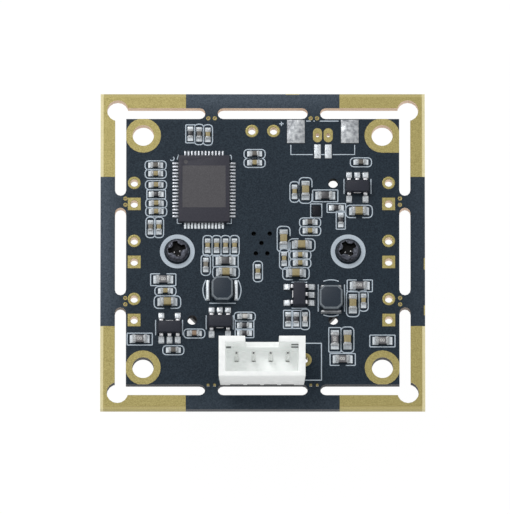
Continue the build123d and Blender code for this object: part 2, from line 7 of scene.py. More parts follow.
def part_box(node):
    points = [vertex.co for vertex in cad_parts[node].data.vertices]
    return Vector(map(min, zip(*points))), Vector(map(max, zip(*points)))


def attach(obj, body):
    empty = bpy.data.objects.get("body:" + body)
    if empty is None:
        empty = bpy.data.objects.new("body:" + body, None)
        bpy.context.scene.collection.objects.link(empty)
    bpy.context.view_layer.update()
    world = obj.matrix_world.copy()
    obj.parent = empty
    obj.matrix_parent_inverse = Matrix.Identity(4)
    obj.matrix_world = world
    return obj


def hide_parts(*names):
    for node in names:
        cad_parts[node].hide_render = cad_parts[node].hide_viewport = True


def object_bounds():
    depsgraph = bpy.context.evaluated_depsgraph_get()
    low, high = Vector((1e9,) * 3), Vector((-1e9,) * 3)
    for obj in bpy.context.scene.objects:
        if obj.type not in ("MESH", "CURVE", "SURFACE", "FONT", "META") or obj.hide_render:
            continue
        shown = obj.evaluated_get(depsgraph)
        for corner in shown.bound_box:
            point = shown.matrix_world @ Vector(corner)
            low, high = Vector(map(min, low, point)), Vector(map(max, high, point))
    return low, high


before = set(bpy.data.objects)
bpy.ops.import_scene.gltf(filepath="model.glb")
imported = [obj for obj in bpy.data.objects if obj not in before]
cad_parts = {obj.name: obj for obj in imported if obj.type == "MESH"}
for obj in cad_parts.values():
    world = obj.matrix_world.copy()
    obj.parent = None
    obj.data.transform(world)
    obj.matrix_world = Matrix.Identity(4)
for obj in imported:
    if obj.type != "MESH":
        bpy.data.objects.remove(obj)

cad_low, cad_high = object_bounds()
mm = 0.001
board_bottom, board_top = (corner.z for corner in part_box("circuit_board"))

# Camera, light and floor: the module lies lens down on a lit white table, seen almost from
# above by a long lens.  One soft lamp hangs close by, another stands aside, and the room is
# white and even.
view_distance = 2.4
view_tilt = math.radians(13.9)
room_light = 0.64
floor_size = 4.0
floor_glow = 1.03
floor_glow_share = 0.95

camera_data = bpy.data.cameras.new("studio_camera")
camera_data.lens = 1435.7
camera_data.shift_x = -0.015
camera_data.shift_y = -0.0108
camera_data.clip_end = 10
camera = bpy.data.objects.new("studio_camera", camera_data)
camera.location = (
    0,
    -view_distance * math.sin(view_tilt),
    board_top + view_distance * math.cos(view_tilt),
)
camera.rotation_euler = (view_tilt, 0, 0)
bpy.context.scene.collection.objects.link(camera)
bpy.context.scene.camera = camera
bpy.context.scene.view_settings.view_transform = "Standard"


def lamp(name, power, size, place, aim=(0, 0, 0)):
    """A square soft lamp turned towards the module."""
    data = bpy.data.lights.new(name, "AREA")
    data.energy = power
    data.size = size
    light = bpy.data.objects.new(name, data)
    light.location = place
    turn = (Vector(aim) - Vector(place)).to_track_quat("-Z", "Y")
    light.rotation_euler = turn.to_euler()
    light.visible_camera = False
    bpy.context.scene.collection.objects.link(light)


def combine(tree, source, operation, value):
    """One sum or comparison of a socket with a number or with another socket."""
    step = tree.nodes.new("ShaderNodeMath")
    step.operation = operation
    tree.links.new(source, step.inputs[0])
    if isinstance(value, (int, float)):
        step.inputs[1].default_value = value
    else:
        tree.links.new(value, step.inputs[1])
    return step.outputs[0]


def ramp(tree, source, start=0.0, end=1.0, least=0.0):
    """A value between start and end, stretched to run from the least share to one."""
    stretch = tree.nodes.new("ShaderNodeMapRange")
    stretch.inputs["From Min"].default_value = start
    stretch.inputs["From Max"].default_value = end
    stretch.inputs["To Min"].default_value = least
    tree.links.new(source, stretch.inputs["Value"])
    return stretch.outputs[0]


def new_material(name, roughness=0.5, specular=0.5):
    """A material, its node tree and its shader."""
    material = bpy.data.materials.new(name)
    material.use_nodes = True
    shader = material.node_tree.nodes["Principled BSDF"]
    shader.inputs["Roughness"].default_value = roughness
    shader.inputs["Specular IOR Level"].default_value = specular
    return material, material.node_tree, shader


lamp("near_lamp", 0.147, 0.1, (-0.06, 0.08, 0.168))
lamp("side_lamp", 1.0, 0.5, (0.9, -0.3, 0.7))

world = bpy.data.worlds.new("white_room")
bpy.context.scene.world = world
world.use_nodes = True
room = world.node_tree.nodes["Background"]
room.inputs["Color"].default_value = (1, 1, 1, 1)
rays = world.node_tree.nodes.new("ShaderNodeLightPath").outputs
seen = rays["Is Camera Ray"]
for ray in ("Is Glossy Ray", "Is Transmission Ray"):
    seen = combine(world.node_tree, seen, "MAXIMUM", rays[ray])
seen = ramp(world.node_tree, seen, least=room_light)
world.node_tree.links.new(seen, room.inputs["Strength"])

bpy.ops.object.select_all(action="DESELECT")
bpy.ops.mesh.primitive_plane_add(size=floor_size)
floor = bpy.context.object
floor.name = "studio_floor"
floor_paint, tree, shader = new_material("studio_floor", 0.9, 0.0)
shader.inputs["Base Color"].default_value = (0.8, 0.8, 0.8, 1)
glow = tree.nodes.new("ShaderNodeEmission")
glow.inputs["Strength"].default_value = floor_glow
lit = tree.nodes.new("ShaderNodeMixShader")
lit.inputs[0].default_value = floor_glow_share
tree.links.new(shader.outputs[0], lit.inputs[1])
tree.links.new(glow.outputs[0], lit.inputs[2])
tree.links.new(lit.outputs[0], tree.nodes["Material Output"].inputs["Surface"])
floor.data.materials.append(floor_paint)

# Circuit board: glass-fibre laminate under a satin blue-black solder mask, with a painted pale
# sheen on the break-off rim.  Its routed walls are bare laminate, painted lit at the back,
# shaded at the front and black as shade in holes that no light reaches; a hair of its edge
# beside the plated corners is bare laminate too.  The CAD node stays and takes this finish.
panel_half = cad_high.x
bare_strip = 0.36
plated_reach = 10
heat_holes_reach = 3
# Ranges in mm for painted light and shade: holes painted black, the wall ramp, the rim sheen
peg_hole_range = (7.6, 8.9)
wall_light_range = (-13, 5)
rim_sheen_range = (15.6, 18.4)
rim_sheen_back_range = (-4, 16)


def tone(red, green, blue):
    """A colour as it looks on the object, 0 to 255, in the light values that Blender mixes."""
    values = []
    for shown in (red, green, blue):
        part = shown / 255
        values.append(part / 12.92 if part <= 0.04045 else ((part + 0.055) / 1.055) ** 2.4)
    return (*values, 1.0)


def make_mottle_group():
    """Node group: two colours mixed by fine noise, with the gloss and the bump that go with it."""
    group = bpy.data.node_groups.new("mottle", "ShaderNodeTree")
    for way, sockets in (
        ("INPUT", (("Light", "Color"), ("Dark", "Color"), ("Grain", "Float"),
                   ("Smooth", "Float"), ("Rough", "Float"), ("Bump", "Float"))),
        ("OUTPUT", (("Color", "Color"), ("Roughness", "Float"), ("Normal", "Vector"))),
    ):
        for name, kind in sockets:
            group.interface.new_socket(name=name, in_out=way, socket_type="NodeSocket" + kind)
    nodes, links = group.nodes, group.links
    inside = nodes.new("NodeGroupInput").outputs
    outside = nodes.new("NodeGroupOutput").inputs
    noise = nodes.new("ShaderNodeTexNoise")
    noise.inputs["Detail"].default_value = 4.0
    links.new(object_place(group), noise.inputs["Vector"])
    links.new(inside["Grain"], noise.inputs["Scale"])
    spread = ramp(group, noise.outputs["Fac"], 0.3, 0.7)
    colour, gloss = blend(group, spread, (inside["Dark"], inside["Rough"]),
                          (inside["Light"], inside["Smooth"]))
    bump = nodes.new("ShaderNodeBump")
    links.new(inside["Bump"], bump.inputs["Distance"])
    links.new(noise.outputs["Fac"], bump.inputs["Height"])
    links.new(colour, outside["Color"])
    links.new(gloss, outside["Roughness"])
    links.new(bump.outputs["Normal"], outside["Normal"])
    return group


def object_place(tree):
    """The place of a point on the object."""
    return tree.nodes.new("ShaderNodeTexCoord").outputs["Object"]


def blend(tree, share, first, second):
    """Colour and gloss of two looks, each a pair of sockets, mixed by a mask."""
    mixed = []
    for kind, slot, one, other in zip(("RGBA", "FLOAT"), (6, 2), first, second):
        mix = tree.nodes.new("ShaderNodeMix")
        mix.data_type = kind
        tree.links.new(share, mix.inputs["Factor"])
        tree.links.new(one, mix.inputs[slot])
        tree.links.new(other, mix.inputs[slot + 1])
        mixed.append(mix.outputs[slot // 3])
    return mixed


mottle_group = make_mottle_group()


def mottled(tree, light, dark, grain_mm, smooth, rough, bump_mm=0.0):
    """The mottle group placed in a material with its own values; gives its three outputs."""
    mottle = tree.nodes.new("ShaderNodeGroup")
    mottle.node_tree = mottle_group
    for name, value in zip(
        ("Light", "Dark", "Grain", "Smooth", "Rough", "Bump"),
        (tone(*light), tone(*dark), 1 / (grain_mm * mm), smooth, rough, bump_mm * mm),
    ):
        mottle.inputs[name].default_value = value
    return mottle.outputs


def clad(tree, colour, gloss, normal):
    """Links a colour, a gloss and a bump to a material's shader."""
    for socket, value in (("Base Color", colour), ("Roughness", gloss), ("Normal", normal)):
        tree.links.new(value, tree.nodes["Principled BSDF"].inputs[socket])


def finish(name, light, dark, grain_mm, smooth, rough, bump_mm=0.0, metallic=0.0, specular=0.5):
    """A material whose colour, gloss and bump come from one mottle group."""
    material, tree, shader = new_material(name, specular=specular)
    shader.inputs["Metallic"].default_value = metallic
    clad(tree, *mottled(tree, light, dark, grain_mm, smooth, rough, bump_mm))
    return material


def dress(node, material):
    """Gives a CAD node that stays its finish."""
    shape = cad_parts[node]
    shape.data.materials.clear()
    shape.data.materials.append(material)


def vector_step(tree, source, operation, other=(0, 0, 0)):
    """One operation on a vector."""
    step = tree.nodes.new("ShaderNodeVectorMath")
    step.operation = operation
    step.inputs[1].default_value = other
    tree.links.new(source, step.inputs[0])
    return step.outputs


def axes(tree, source):
    """The X, Y and Z of a vector."""
    parts = tree.nodes.new("ShaderNodeSeparateXYZ")
    tree.links.new(source, parts.inputs[0])
    return parts.outputs


def facing_up(tree):
    """How far a face looks upwards, from -1 to 1."""
    return axes(tree, tree.nodes.new("ShaderNodeNewGeometry").outputs["Normal"])["Z"]


def wall_mask(tree):
    """One where a face stands upright, as the wall of a hole does."""
    return combine(tree, combine(tree, facing_up(tree), "ABSOLUTE", 0.0), "LESS_THAN", 0.5)


def between(tree, source, start, end):
    """One where a value, in metres, lies between two values in mm."""
    above = combine(tree, source, "GREATER_THAN", start * mm)
    return combine(tree, above, "MULTIPLY", combine(tree, source, "LESS_THAN", end * mm))


def board_finish():
    """Solder mask on the faces, with a painted sheen on the rim; laminate along the plated corners
    and on the walls, which are painted lit, shaded and black as shade.
    """
    material, tree, shader = new_material("solder_mask", specular=0.1)
    mask = mottled(tree, (40, 52, 62), (18, 28, 38), 0.14, 0.34, 0.5, 0.003)
    # A paler copy of the mask for the painted sheen on the rim
    rim_sheen = mottled(tree, (76, 86, 97), (50, 60, 70), 0.14, 0.34, 0.5, 0.003)
    bare = mottled(tree, (224, 214, 170), (206, 197, 152), 0.12, 0.6, 0.8)
    plated = mottled(tree, (190, 178, 124), (166, 154, 102), 0.11, 0.6, 0.8)
    # Lit and shaded copies of the wall laminate, and black for holes: painted light and shade
    lit_wall_look = mottled(tree, (236, 216, 196), (216, 194, 174), 0.12, 0.6, 0.8)
    painted_light_look = mottled(tree, (106, 106, 108), (74, 76, 80), 0.12, 0.6, 0.8)
    hole_shade_look = mottled(tree, (18, 18, 22), (10, 10, 12), 0.12, 0.6, 0.8)
    place = object_place(tree)
    here = axes(tree, place)
    reach = axes(tree, vector_step(tree, place, "ABSOLUTE")[0])
    far = combine(tree, reach["X"], "MAXIMUM", reach["Y"])
    near = combine(tree, reach["X"], "MINIMUM", reach["Y"])
    # Walls: laminate painted lit at the back and painted shaded at the front, and painted black as
    # shade in the holes that no light reaches
    start, end = wall_light_range
    towards_back = ramp(tree, here["Y"], start * mm, end * mm)
    least, most = peg_hole_range
    pegged = combine(tree, combine(tree, near, "GREATER_THAN", least * mm), "MULTIPLY",
                     combine(tree, far, "LESS_THAN", most * mm))
    middle = combine(tree, far, "LESS_THAN", heat_holes_reach * mm)
    unlit = combine(tree, middle, "MAXIMUM", pegged)
    wall = blend(tree, towards_back, painted_light_look, lit_wall_look)
    wall = blend(tree, unlit, wall, hole_shade_look)
    # Faces: mask, with a painted sheen on the rim, strongest at its back left
    backward = combine(tree, here["Y"], "SUBTRACT", here["X"])
    start, end = rim_sheen_range
    on_rim = ramp(tree, far, start * mm, end * mm)
    start, end = rim_sheen_back_range
    at_back = ramp(tree, backward, start * mm, end * mm, 0.3)
    face = blend(tree, combine(tree, on_rim, "MULTIPLY", at_back), mask, rim_sheen)
    board = blend(tree, wall_mask(tree), face, wall)
    # A bare or plated strip along the outer edge of each corner
    edge = panel_half - bare_strip * mm
    side = combine(tree, reach["X"], "GREATER_THAN", edge)
    outer = combine(tree, far, "GREATER_THAN", edge)
    corner = combine(tree, near, "GREATER_THAN", panel_half - plated_reach * mm)
    strip = combine(tree, outer, "MULTIPLY", corner)
    clad(tree, *blend(tree, strip, board, blend(tree, side, plated, bare)), mask["Normal"])
    return material


dress("circuit_board", board_finish())

# Plated copper: matte immersion gold over nickel and copper, left bare on the rim's corners,
# round the mounting holes and on the pads.  The CAD plates stay, and copies of them lie on the
# lens side, where the real board is plated too.
copper_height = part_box("rim_corner_plating")[1].z - board_top
merge_reach = 0.0005 * mm


def gold_finish():
    """Gold on the faces; paler on the walls of the plated holes, which catch light from below."""
    material, tree, shader = new_material("matte_gold", specular=0.3)
    shader.inputs["Metallic"].default_value = 0.5
    face = mottled(tree, (164, 153, 99), (130, 119, 70), 0.11, 0.42, 0.62, 0.003)
    wall = mottled(tree, (240, 222, 200), (226, 206, 182), 0.12, 0.4, 0.6)
    clad(tree, *blend(tree, wall_mask(tree), face, wall), face["Normal"])
    return material


def fit(piece, slot, *nodes):
    """A finished piece rides on the board and stands for its nodes; its slot is not used."""
    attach(piece, "root")
    if nodes:
        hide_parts(*nodes)


def only(*pieces):
    """Selects these pieces alone and makes the first one active."""
    bpy.ops.object.select_all(action="DESELECT")
    for piece in pieces:
        piece.select_set(True)
    bpy.context.view_layer.objects.active = pieces[0]


def new_object(name, data):
    """An object in the scene, selected alone."""
    piece = bpy.data.objects.new(name, data)
    bpy.context.scene.collection.objects.link(piece)
    only(piece)
    return piece


def node_copy(node, name):
    """A loose copy of a CAD node's mesh, merged into one surface with clean normals."""
    piece = new_object(name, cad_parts[node].data.copy())
    bpy.ops.object.mode_set(mode="EDIT")
    bpy.ops.mesh.select_all(action="SELECT")
    bpy.ops.mesh.customdata_custom_splitnormals_clear()
    bpy.ops.mesh.remove_doubles(threshold=merge_reach)
    bpy.ops.mesh.dissolve_limited(angle_limit=math.radians(0.5))
    bpy.ops.mesh.normals_make_consistent(inside=False)
    bpy.ops.object.mode_set(mode="OBJECT")
    return piece


def join(name, pieces):
    """Pieces made one, under one name."""
    only(*pieces)
    if len(pieces) > 1:
        bpy.ops.object.join()
    joined = bpy.context.object
    joined.name = joined.data.name = name
    return joined


def paint(piece, *materials):
    """The piece's materials, in the order of its faces' slots."""
    piece.data.materials.clear()
    for material in materials:
        piece.data.materials.append(material)


def mount(name, pieces, material, slot, *nodes):
    """Pieces joined, painted and fitted as one."""
    piece = join(name, pieces)
    paint(piece, material)
    fit(piece, slot, *nodes)


gold = gold_finish()
underside = []
for node in ("rim_corner_plating", "mounting_hole_rings"):
    dress(node, gold)
    plate = node_copy(node, "lens_side_" + node)
    plate.data.transform(Matrix.Translation((0, 0, board_bottom - board_top - copper_height)))
    underside.append(plate)
mount("lens_side_plating", underside, gold, "bare_gold")

# Plated holes: each has a gold pad on both faces and a plated barrel through the board.  Twelve
# take the lamp leads, two the microphone, two the spare socket and five the cable header, and
# small ones weaken each tab of the rim.
low, high = board_bottom / mm, board_top / mm
film = copper_height / mm
wall_inset = 0.02
lamp_column, lamp_shift, lamp_pitch = 14.9, -0.15, 2.54
microphone_y = 14.55
header_pin_x, header_pin_y, header_pitch = -3.07, -13.05, 2
socket_x, socket_y, socket_reach = 7.05, 14.03, 0.63
tab_middle, bite_reach, bite_y, front_y = 6, 0.38, 16.08, -10


def draw(curve, points, closed):
    """Adds a line of straight steps to a curve; its points in mm, flat or with a height."""
    spline = curve.splines.new("POLY")
    spline.points.add(len(points) - 1)
    for point, place in zip(spline.points, points):
        x, y, z = (*place, 0)[:3]
        point.co = (x * mm, y * mm, z * mm, 1)
    spline.use_cyclic_u = closed


def as_mesh(name, curve):
    """A curve made a mesh, selected alone."""
    new_object(name, curve)
    bpy.ops.object.convert(target="MESH")
    return bpy.context.object


def mend():
    """Merges the active piece's doubles and turns its faces outwards."""
    bpy.ops.object.mode_set(mode="EDIT")
    bpy.ops.mesh.select_all(action="SELECT")
    bpy.ops.mesh.remove_doubles(threshold=merge_reach)
    bpy.ops.mesh.normals_make_consistent(inside=False)
    bpy.ops.object.mode_set(mode="OBJECT")


def turned(name, points, steps=32, middle=(0, 0), closed=True):
    """A turned shape: a line of radius and height in mm, spun round an upright axis."""
    line = bpy.data.curves.new(name, "CURVE")
    line.dimensions = "3D"
    draw(line, [(radius, 0, height) for radius, height in points], closed)
    piece = as_mesh(name, line)
    spin = piece.modifiers.new("spin", "SCREW")
    spin.steps = spin.render_steps = steps
    spin.use_merge_vertices = True
    spin.merge_threshold = 0.0002 * mm
    bpy.ops.object.modifier_apply(modifier="spin")
    mend()
    bpy.ops.object.shade_smooth_by_angle(angle=math.radians(35))
    piece.data.transform(Matrix.Translation((middle[0] * mm, middle[1] * mm, 0)))
    return piece


def flat_plate(name, outlines, thickness):
    """Flat outlines filled in and given a thickness, half above and half below."""
    curve = bpy.data.curves.new(name, "CURVE")
    curve.dimensions = "2D"
    curve.fill_mode = "BOTH"
    curve.extrude = thickness / 2 * mm
    for points in outlines:
        draw(curve, points, True)
    return as_mesh(name, curve)


def copy_of(template, x, y, z=0.0, turn=0.0):
    """The template again, with its own mesh, at a place in mm and turned in degrees."""
    twin = bpy.data.objects.new(template.name, template.data.copy())
    bpy.context.scene.collection.objects.link(twin)
    place = Matrix.Translation((x * mm, y * mm, z * mm))
    twin.data.transform(place @ Matrix.Rotation(math.radians(turn), 4, "Z"))
    return twin


def drop(*pieces):
    """Takes templates away once they have been copied."""
    for piece in pieces:
        bpy.data.objects.remove(piece)


def settled():
    """The new primitive, its place and size in its mesh."""
    bpy.ops.object.transform_apply(location=True, rotation=True, scale=True)
    return bpy.context.object


def slim_block(name, x, y, z, width, length, height, soften=0.0, segments=2):
    """A block standing on a height, its edges rounded over; all sizes in mm."""
    bpy.ops.object.select_all(action="DESELECT")
    bpy.ops.mesh.primitive_cube_add(size=1, location=(x * mm, y * mm, (z + height / 2) * mm))
    bpy.context.object.name = name
    bpy.context.object.scale = (width * mm, length * mm, height * mm)
    piece = settled()
    if soften:
        round_over(piece, soften, segments)
    return piece


def round_over(piece, width, segments=2, angle=30):
    """Rounds every edge sharper than an angle."""
    only(piece)
    edge = piece.modifiers.new("edge", "BEVEL")
    edge.width = width * mm
    edge.segments = segments
    edge.limit_method = "ANGLE"
    edge.angle_limit = math.radians(angle)
    bpy.ops.object.modifier_apply(modifier="edge")
    bpy.ops.object.shade_smooth_by_angle(angle=math.radians(40))


def carve(piece, cutter):
    """Cuts one piece out of another and takes the cutter away."""
    only(piece)
    cut = piece.modifiers.new("cut", "BOOLEAN")
    cut.object = cutter
    cut.solver = "EXACT"
    bpy.ops.object.modifier_apply(modifier="cut")
    drop(cutter)


def eyelet(pad, hole, steps=32):
    """Round pads on both faces, joined by the plated wall of the hole."""
    outer, inner = pad / 2, hole / 2
    return turned("eyelet", [
        (outer, high), (outer, high + film * 0.7), (outer - film * 0.5, high + film),
        (inner + film, high + film), (inner - wall_inset, high), (inner - wall_inset, low),
        (inner + film, low - film),
        (outer - film * 0.5, low - film), (outer, low - film * 0.7), (outer, low),
        (inner - 0.005, low), (inner - 0.005, high),
    ], steps)


def barrel_wall(hole, steps=32, middle=(0, 0)):
    """The plated wall of a hole, its lips a hair below the faces of its flat pads."""
    inner, lip = hole / 2, 0.1
    return turned("eyelet", [
        (inner + lip, high + film * 0.5), (inner + film, high + film * 0.9),
        (inner - wall_inset, high), (inner - wall_inset, low), (inner + film, low - film * 0.9),
        (inner + lip, low - film * 0.5), (inner - 0.005, low), (inner - 0.005, high),
    ], steps, middle)


def square_eyelet(pad, hole):
    """A square pad on both faces round a plated hole."""
    pieces = [barrel_wall(hole)]
    for z in (high, low - film):
        plate = slim_block("square_pad", 0, 0, z, pad, pad, film)
        bpy.ops.object.select_all(action="DESELECT")
        bpy.ops.mesh.primitive_cylinder_add(vertices=32, radius=(hole / 2 + film * 0.9) * mm,
                                            depth=2 * cad_high.z)
        carve(plate, settled())
        pieces.append(plate)
    return join("square_eyelet", pieces)


def arc(x, y, radius, start, end, steps=16):
    """Points along an arc, its ends in degrees from +X."""
    turns = [math.radians(start + (end - start) * i / steps) for i in range(steps + 1)]
    return [(x + radius * math.cos(t), y + radius * math.sin(t)) for t in turns]


def oval_eyelet(x, y):
    """An upright oval pad on both faces round a small plated hole."""
    pieces = [barrel_wall(0.5, 24, (x, y))]
    outline = arc(x, y + 0.32, 0.53, 0, 180) + arc(x, y - 0.32, 0.53, 180, 360)
    for bottom in (high, low - film):
        plate = flat_plate("oval_pad", (outline, arc(x, y, 0.28, 0, 345, 23)), film)
        plate.data.transform(Matrix.Translation((0, 0, (bottom + film / 2) * mm)))
        pieces.append(plate)
    return join("oval_eyelet", pieces)


made = []
round_pad, square_pad, header_pad = eyelet(1.5, 0.93), square_eyelet(1.5, 0.93), eyelet(1.6, 0.8)
for side in (-1, 1):
    for group in (-7, 0, 7):
        for pad, step in ((round_pad, 1), (square_pad, -1)):
            pad_x, pad_y = side * lamp_column + lamp_shift, group + step * lamp_pitch / 2
            made.append(copy_of(pad, pad_x, pad_y))
for side in (-1, 1):
    made.append(copy_of(round_pad, side * lamp_pitch / 2, microphone_y))
for i in range(5):
    made.append(copy_of(header_pad, header_pin_x + header_pitch * i, header_pin_y))
wide_bite, small_bite = eyelet(0.5, 0.28, 20), eyelet(0.3, 0.16, 16)
for tab in (-1, 1):
    for step in (-1, 1):
        for turn in range(4):
            spin = Matrix.Rotation(math.radians(90 * turn), 4, "Z")
            place = spin @ Vector((tab * tab_middle + step * bite_reach, bite_y, 0))
            bite = small_bite if place.y < front_y else wide_bite
            made.append(copy_of(bite, place.x, place.y))
drop(round_pad, square_pad, header_pad, wide_bite, small_bite)
for side in (-1, 1):
    made.append(oval_eyelet(socket_x + side * socket_reach, socket_y))
# Three bare contacts at the outer edge
for x, y, width, length in (
    (18.93, -1.5, 0.14, 1.4), (18.93, -7.1, 0.14, 1.2), (3.5, 18.96, 1.6, 0.08),
):
    made.append(slim_block("edge_contact", x, y, high, width, length, film))
mount("plated_holes", made, gold, "bare_gold", "plated_hole_pads")

# Component print: white ink screened on the mask, a hair thick.  Rounded boxes frame the
# capacitors and square ones the resistors; rings frame the lens holder's screws.
ink = finish("print_ink", (184, 196, 206), (164, 176, 188), 0.1, 0.5, 0.7)
ink_half_width = 0.062
ink_rise = 0.018
screw_reach = 10
# Each chip part's group, then its place, its turn in degrees, its case and its shade
chip_parts = {
    "back_edge_chip_parts": [
        (-8.49, 14.2, 90, "small", "black"), (-7.46, 14.13, 90, "small", "dark"),
        (-6.43, 14.07, 90, "small", "tan"),
    ],
    "processor_side_parts_back": [
        (-12.55, 10.39, 0, "small", "dark"), (-12.54, 9.37, 0, "small", "tan"),
        (-12.5, 8.01, 0, "small", "tan"),
    ],
    "processor_side_parts_front": [
        (-12.48, 6.89, 0, "small", "black"), (-12.47, 5.79, 0, "small", "tan"),
        (-12.47, 4.8, 0, "small", "tan"),
    ],
    "left_screw_capacitors": [
        (-13.14, 2.9, 90, "small", "grey"), (-12.15, 2.9, 90, "small", "tan"),
    ],
    "processor_foot_capacitors": [
        (-6.45, 0.68, 90, "small", "tan"), (-5.4, 0.68, 90, "small", "tan"),
        (-4.35, 0.68, 90, "small", "tan"), (-3.3, 0.68, 90, "small", "tan"),
    ],
    "microphone_filter_parts": [
        (-0.95, 11.77, 0, "small", "dark"), (-0.95, 10.69, 0, "small", "tan"),
    ],
    "input_regulator_capacitors": [
        (11.51, 10.76, 0, "small", "dark"), (11.29, 4.83, 0, "large", "tan"),
    ],
    "sensor_supply_parts": [
        (3.73, 7.18, 90, "small", "tan"), (5.02, 7.36, 90, "large", "tan"),
        (7.33, 6.71, 0, "large", "plain"),
    ],
    "flash_chip_resistors": [
        (8.63, 5.24, 0, "small", "black"), (9.14, 3.78, 90, "small", "black"),
    ],
    "flash_chip_capacitors": [
        (5.55, 3.5, 0, "small", "dark"), (5.55, 2.47, 0, "small", "tan"),
    ],
    "memory_supply_capacitors": [
        (2.45, 1.48, 90, "large", "tan"), (4.57, 0.77, 0, "large", "tan"),
        (2.51, -0.9, 90, "small", "tan"), (4.4, -0.44, 0, "small", "tan"),
        (4.4, -1.42, 0, "small", "tan"), (3.89, -2.66, 0, "large", "tan"),
    ],
    "middle_capacitor": [
        (-0.57, -2.42, 90, "small", "tan"),
    ],
    "right_inductor_parts": [
        (11.36, -4.15, 0, "large", "numbered"), (10.55, -6.31, 90, "large", "tan"),
        (11.8, -5.96, 90, "small", "tan"),
    ],
    "front_right_parts": [
        (8.44, -10.65, 90, "large", "numbered"), (9.91, -10.65, 90, "large", "tan"),
        (9.35, -13.01, 0, "large", "numbered"), (14.0, -10.79, 0, "large", "numbered"),
    ],
    "memory_regulator_parts": [
        (2.97, -8.18, 90, "small", "black"), (3.92, -8.18, 90, "small", "black"),
        (4.95, -8.18, 90, "small", "pale"),
    ],
    "core_regulator_input_parts": [
        (-11.64, -3.41, 0, "large", "numbered"), (-11.38, -4.78, 0, "small", "tan"),
        (-11.15, -6.11, 0, "large", "tan"),
    ],
    "left_edge_resistor": [
        (-14.39, -10.56, 0, "large", "numbered"),
    ],
    "core_regulator_output_capacitors": [
        (-8.0, -9.89, 0, "small", "brown"), (-10.45, -11.9, 0, "small", "dark"),
    ],
    "left_inductor_parts": [
        (-6.67, -1.64, 90, "small", "grey"), (-4.35, -1.16, 0, "large", "plain"),
        (-4.3, -2.54, 0, "large", "tan"),
    ],
    "sensor_regulator_parts": [
        (-2.1, -7.86, 0, "small", "pale"), (-2.13, -8.92, 0, "small", "black"),
        (-2.13, -9.86, 0, "small", "black"),
    ],
}
resistor_shades = ("black", "plain", "numbered")
# Length, width and corner radius of the printed frame for each case and kind
frame_sizes = {
    ("small", "capacitor"): (2.48, 1.08, 0.4),
    ("small", "resistor"): (2.18, 1.06, 0.06),
    ("large", "capacitor"): (3.1, 1.5, 0.45),
    ("large", "resistor"): (2.95, 1.42, 0.08),
}
# Frames left open at the middle of a side: 0 is the back one, then counterclockwise
open_sides = {
    (11.29, 4.83): 2, (-11.15, -6.11): 2, (9.35, -13.01): 2, (11.36, -4.15): 0,
    (-11.64, -3.41): 0, (2.45, 1.48): 3, (5.02, 7.36): 3, (3.89, -2.66): 2, (4.57, 0.77): 0,
}


def kind_of(shade):
    """Whether a shade is a resistor's or a capacitor's."""
    return "resistor" if shade in resistor_shades else "capacitor"


def rounded_box(x, y, width, length, radius, steps=4):
    """Points round a box with rounded corners."""
    points = []
    for corner, (sx, sy) in enumerate(((1, 1), (-1, 1), (-1, -1), (1, -1))):
        for i in range(steps):
            turn = math.radians(90 * corner + 90 * i / (steps - 1))
            points.append((
                x + sx * (width / 2 - radius) + radius * math.cos(turn),
                y + sy * (length / 2 - radius) + radius * math.sin(turn),
            ))
    return points


def open_box(x, y, width, length, radius, side, gap=0.75):
    """Points round a box from one end of the gap in a side to the other."""
    points = rounded_box(x, y, width, length, radius)
    step = len(points) // 4 * (side + 1)
    points = points[step:] + points[:step]
    across = ((1, 0), (0, 1), (-1, 0), (0, -1))[side]
    reach = (length if side in (0, 2) else width) / 2
    ends = [(x - across[1] * reach + across[0] * way * gap / 2,
             y + across[0] * reach + across[1] * way * gap / 2) for way in (-1, 1)]
    return [ends[0], *points, ends[1]]


def printed(name, lines, half_width, rise):
    """Ink lines laid on the mask: each is a list of points and whether it closes on itself."""
    curve = bpy.data.curves.new(name, "CURVE")
    curve.dimensions = "3D"
    curve.bevel_depth = half_width * mm
    curve.bevel_resolution = 1
    curve.use_fill_caps = True
    for points, closed in lines:
        draw(curve, points, closed)
    piece = as_mesh(name, curve)
    flat = Matrix.Diagonal((1, 1, rise / half_width, 1))
    piece.data.transform(Matrix.Translation((0, 0, board_top)) @ flat)
    bpy.ops.object.shade_smooth_by_angle(angle=math.radians(60))
    return piece


lines = []
for rows in chip_parts.values():
    for x, y, turn, case, shade in rows:
        length, width, radius = frame_sizes[(case, kind_of(shade))]
        sides = (width, length) if turn else (length, width)
        if (x, y) in open_sides:
            lines.append((open_box(x, y, *sides, radius, open_sides[(x, y)]), False))
        else:
            lines.append((rounded_box(x, y, *sides, radius), True))
# Strokes from back to front, each an X and two Ys: beside the regulators and the right
# inductor, and in the plus mark
for x, start, end in (
    (9.53, 8.75, 6.95), (12.68, 8.75, 6.95), (-12.52, -8.25, -10.1), (-9.38, -8.25, -10.1),
    (-6.61, -7.7, -9.4), (-3.45, -7.7, -9.4), (6.5, -4.0, -7.25), (9.57, -4.0, -7.25),
    (2.2, 15.67, 15.17),
):
    lines.append(([(x, start), (x, end)], False))
